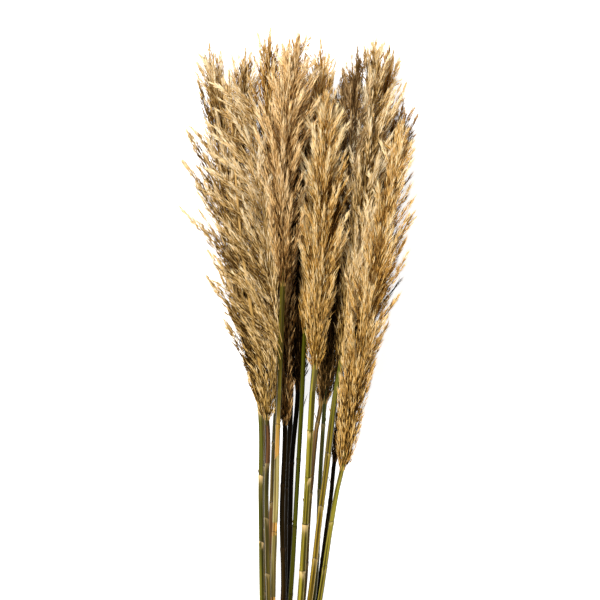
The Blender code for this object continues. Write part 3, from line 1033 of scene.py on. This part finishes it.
def joint_phase(nodes, reed):
    """How far above the joint under it a place on a stem is, in internodes."""
    top_joint, spacing = reed.joints
    scale = (reed.base[1] + CULM_REACH - CUT_Y) / (TOP_V - CUT_V)
    y = nodes.math("MULTIPLY_ADD", nodes.v, scale, CUT_Y - CUT_V * scale)
    turn = nodes.math("MULTIPLY_ADD", nodes.u, 2 * math.pi / (CULM_RANGE[1] - CULM_RANGE[0]), top_joint)
    slanted = nodes.math("MULTIPLY_ADD", nodes.math("SINE", turn), RING_SLANT, y)
    capped = nodes.math("MINIMUM", slanted, top_joint + LAST_INTERNODE * spacing)
    count = nodes.math("MULTIPLY_ADD", capped, 1 / spacing, 10 - top_joint / spacing)
    return nodes.math("FRACT", count)


def culm_colour(nodes, reed, look, number):
    """A culm's colour along its length, pale where it is cut and golden in patches unless it is dark."""
    stops = [(0.0, CUT_COLOURS[0]), (0.0125, CUT_COLOURS[1]), (0.0165, look.colours[0][1])]
    stops += [(float(stem_v(reed, y)), colour) for y, colour in look.colours[1:]]
    culm = nodes.ramp(nodes.v, stops, 1.5 * STEM_LIGHT)
    if look.slot == "stem_dark":
        return culm
    golden = nodes.mix(0.5, culm, (*(STEM_LIGHT * linear(GOLDEN)), 1))
    patches = nodes.ramp(nodes.noise(12, 12, number, 2.0), ((0.45, even(0)), (0.65, even(185))))
    return nodes.mix(patches, culm, golden)


def sheath_colour(nodes, look, number):
    """A sheath's colour, darker and paler in long spots."""
    dark = [0.7 * part for part in look.sheath]
    pale = [min(255, 1.15 * part) for part in look.sheath]
    return nodes.ramp(nodes.noise(60, 9, 5.0 + number, 4.0), ((0.3, dark), (0.7, pale)), STEM_LIGHT)


def joint_bloom(nodes, look, number, phase, step):
    """How strong the pale bloom is: most right under each joint, and in spots."""
    stops = [(1 - below * step, even(level)) for below, level in BLOOM]
    rise = nodes.ramp(phase, [(0.0, even(0)), *stops, (0.999, even(BLOOM_MOST))])
    spots = nodes.noise(5, 30, 9.0 + number, 2.0)
    spots = nodes.ramp(spots, ((0.42, even(0)), (0.5, even(255 * look.bloom))))
    return nodes.mix(1.0, rise, spots, "MULTIPLY")


def stem_material(name, reed, look):
    """A culm with streaks, pale bloom under its joints and a dark line at each, and its sheaths."""
    # Stems of the dark slot carry partly painted shade: darker colours and a darker bloom at the back of the
    # bunch
    is_dark_and_shaded = look.slot == "stem_dark"
    nodes = Nodes("stem_" + name, 0.4, 0.02 if is_dark_and_shaded else 0.16)
    number = float(name)
    on_sheath = nodes.math("GREATER_THAN", nodes.u, SHEATH_FROM)
    on_culm = nodes.math("SUBTRACT", 1.0, on_sheath)
    sheath = sheath_colour(nodes, look, number)
    colour = nodes.mix(on_sheath, culm_colour(nodes, reed, look, number), sheath)
    streaks = nodes.noise(16, 4, number, 4.0)
    streak = nodes.ramp(streaks, ((0.38, (74, 66, 40)), (0.48, (170, 166, 130)), (0.56, even(255))))
    colour = nodes.mix(0.9, colour, streak, "MULTIPLY")
    phase, step = joint_phase(nodes, reed), 1 / reed.joints[1]
    bloom = nodes.math("MULTIPLY", joint_bloom(nodes, look, number, phase, step), on_culm)
    colour = nodes.mix(bloom, colour, (*(0.85 * linear(SHADED_DARK_CREAM if is_dark_and_shaded else CREAM)), 1))
    line = nodes.ramp(phase, ((0.0, (90, 64, 40)), (1.3 * step, even(255)), (1.0, even(255))))
    line_share = nodes.math("SUBTRACT", 0.85, nodes.math("MULTIPLY", on_sheath, 0.8))
    colour = nodes.mix(line_share, colour, line, "MULTIPLY")
    nodes.put(colour, nodes.shader.inputs["Base Color"])
    nodes.put(nodes.math("MULTIPLY_ADD", streaks, 0.3, 0.2), nodes.shader.inputs["Roughness"])
    nodes.bump(streaks, 0.35, 0.0004)
    return nodes.material


def make_stem(name):
    """One stem: its culm, its leaf sheaths and its torn bits of leaf."""
    reed, look = REEDS[name], STEM_LOOKS[name]
    rng = np.random.default_rng(SEED + 100 + int(name))
    body = Body()
    add_culm(body, reed)
    for joint in stem_joints(reed):
        length = reed.joints[1] * rng.uniform(*SHEATH_SHARE)
        near_tie = joint < TIE_Y + JOINT_ROOM and joint + length > TIE_Y - JOINT_ROOM
        if joint + length < SHEATHS_BELOW and not near_tie:
            add_sheath(body, reed, joint + SHEATH_ABOVE, length, rng)
    for foot, top in SHEATHS.get(name, ()):
        add_sheath(body, reed, foot, top - foot, rng)
    for foot, length, turn in LEAF_BITS.get(name, ()):
        add_leaf_bit(body, reed, foot, length, turn)
    material = stem_material(name, reed, look)
    body.settle("stem_" + name + "_culm", "stem_" + name, material, True)


# Tie: twine of three plies, how deep the grooves between them are, and how far it stands off the stems
STRAND_SIDES = 12
STRAND_STEP = 0.9
STRAND_TWIST = 3.4
PLIES = 3
PLY_DEPTH = 0.26
TIE_CLEAR = 0.35
TIE_ANGLES = 1440

# The knot: its half sizes and rows, and how thick and how high it is, in thicknesses of the twine
KNOT_HALF = (4.0, 2.6, 1.0)
KNOT_ROWS = 90
KNOT_THICK = 0.45
KNOT_RISE = 0.6


def tie_path():
    """One taut turn round the tied stems at even steps, as (x, z), from its top on the bunch's middle."""
    across = np.linspace(0, 2 * math.pi, TIE_ANGLES, endpoint=False) + math.pi / 2
    best = np.full(len(across), -1e9)
    path = np.zeros((len(across), 2))
    for reed in REEDS.values():
        x, z = centre(reed, np.array([TIE_Y]))
        reach = x * np.cos(across) + z * np.sin(across) + reed.radius
        edge = reed.radius + TIE_CLEAR + TWINE / 2
        place = np.stack([x + edge * np.cos(across), z + edge * np.sin(across)], 1)
        path = np.where((reach > best)[:, None], place, path)
        best = np.maximum(best, reach)
    closed = np.concatenate([path, path[:1]])
    gone = np.concatenate([[0], np.cumsum(np.linalg.norm(np.diff(closed, axis=0), axis=1))])
    steps = np.linspace(0, gone[-1], round(gone[-1] / STRAND_STEP) + 1)[:-1]
    return np.stack([np.interp(steps, gone, closed[:, side]) for side in (0, 1)], 1)


def add_twine(body, path, radius, v_range):
    """Adds a twisted twine along a path of points."""
    first, second = across_pair(unit(np.gradient(path, axis=0)))
    gone = np.concatenate([[0], np.cumsum(np.linalg.norm(np.diff(path, axis=0), axis=1))])
    angle = (2 * math.pi * np.arange(STRAND_SIDES) / STRAND_SIDES)[None, :]
    twist = (2 * math.pi * gone / (2 * STRAND_TWIST))[:, None]
    ply = np.abs(np.cos(PLIES / 2 * (angle - twist)))
    size = radius * (1 - PLY_DEPTH + PLY_DEPTH * ply)
    ring = np.cos(angle)[..., None] * first[:, None] + np.sin(angle)[..., None] * second[:, None]
    points = path[:, None] + size[..., None] * ring
    v_rows = np.linspace(*v_range, len(path))
    add_capped(body, points, (0.01, 0.99), v_rows, (v_range[0], v_range[1] - CAP_V))


def twine_material():
    """Tan hemp with fine fibres along the strand."""
    nodes = Nodes("twine", 0.9, 0.15)
    fibres = nodes.noise(30, 260, 2.0, 5.0)
    colour = nodes.ramp(fibres, ((0.3, (122, 92, 56)), (0.5, (170, 136, 90)), (0.72, (206, 176, 126))), 0.8)
    nodes.put(colour, nodes.shader.inputs["Base Color"])
    nodes.put(nodes.math("MULTIPLY_ADD", fibres, 0.2, 0.78), nodes.shader.inputs["Roughness"])
    nodes.bump(fibres, 0.6, 0.0004)
    return nodes.material


def make_tie():
    """Turns of twine side by side round the stems, and a small tight knot on top that hides both ends."""
    turn = tie_path()
    path = np.concatenate([np.tile(turn, (TIE_TURNS, 1)), turn[:1]])
    share = np.linspace(-0.5, 0.5, len(path))
    y = TIE_Y + share * (TIE_WIDTH - TWINE)
    body = Body()
    add_twine(body, np.stack([path[:, 0], y, path[:, 1]], 1), TWINE / 2, (0.01, 0.85))
    t = np.linspace(0, 2 * math.pi, KNOT_ROWS)
    knot = np.stack([np.sin(t) + 2 * np.sin(2 * t), np.cos(t) - 2 * np.cos(2 * t), -np.sin(3 * t)], 1)
    knot = knot / np.array([3.0, 3.0, 1.0]) * np.array(KNOT_HALF)
    middle = np.array([turn[0, 0], TIE_Y, turn[0, 1] + KNOT_RISE * TWINE])
    add_twine(body, knot + middle, KNOT_THICK * TWINE, (0.86, 0.99))
    body.settle("tie_twine", "tie", twine_material(), True)


# Stage: light all round, the lamp's strength, breadth and tilt in degrees, and the floor's own light
WORLD_LIGHT = 0.38
SUN_LIGHT = 5.6
SUN_BREADTH = 22
SUN_TILT = (-14, -18, 0)
FLOOR_GLOW = 0.78
FLOOR_GREY = 0.88
FLOOR_SIZE = 14
FLOOR_LEVEL = -0.0004

# Camera: its place above the floor, and the height and width in metres of what fills its view
CAMERA_PLACE = (0, 0.127, 4.0)
VIEW_LEVEL = 0.06
VIEW_WIDTH = 0.51
SENSOR = 36


def make_floor():
    """A wide pale floor."""
    bpy.ops.mesh.primitive_plane_add(size=FLOOR_SIZE, location=(0, 0, FLOOR_LEVEL))
    floor = bpy.context.object
    floor.name = "floor"
    nodes = Nodes("floor", 0.9, 0.1)
    nodes.shader.inputs["Base Color"].default_value = grey(FLOOR_GREY)
    nodes.shader.inputs["Emission Color"].default_value = grey(1.0)
    nodes.shader.inputs["Emission Strength"].default_value = FLOOR_GLOW
    floor.data.materials.append(nodes.material)


def make_light():
    """Soft white light from all round and a broad lamp from above the bunch's left."""
    world = bpy.data.worlds.new("soft white")
    bpy.context.scene.world = world
    world.use_nodes = True
    background = world.node_tree.nodes["Background"]
    background.inputs["Color"].default_value = grey(1.0)
    seen = world.node_tree.nodes.new("ShaderNodeLightPath")
    strength = world.node_tree.nodes.new("ShaderNodeMapRange")
    strength.inputs["To Min"].default_value = WORLD_LIGHT
    strength.inputs["To Max"].default_value = 1.0
    world.node_tree.links.new(seen.outputs["Is Camera Ray"], strength.inputs["Value"])
    world.node_tree.links.new(strength.outputs["Result"], background.inputs["Strength"])
    sun = bpy.data.lights.new("key", "SUN")
    sun.energy = SUN_LIGHT
    sun.angle = math.radians(SUN_BREADTH)
    lamp = bpy.data.objects.new("key", sun)
    lamp.rotation_euler = [math.radians(turn) for turn in SUN_TILT]
    bpy.context.scene.collection.objects.link(lamp)


def make_camera():
    """A long lens straight above the plumes, and plain colours."""
    view = bpy.data.cameras.new("camera")
    view.sensor_width = SENSOR
    view.lens = SENSOR * (CAMERA_PLACE[2] - VIEW_LEVEL) / VIEW_WIDTH
    view.clip_end = 50
    camera = bpy.data.objects.new("camera", view)
    camera.location = CAMERA_PLACE
    bpy.context.scene.collection.objects.link(camera)
    bpy.context.scene.camera = camera
    bpy.context.scene.view_settings.view_transform = "Standard"


make_floor()
make_light()
make_camera()
for reed_name in REEDS:
    make_plume(reed_name)
for reed_name in REEDS:
    make_stem(reed_name)
make_tie()
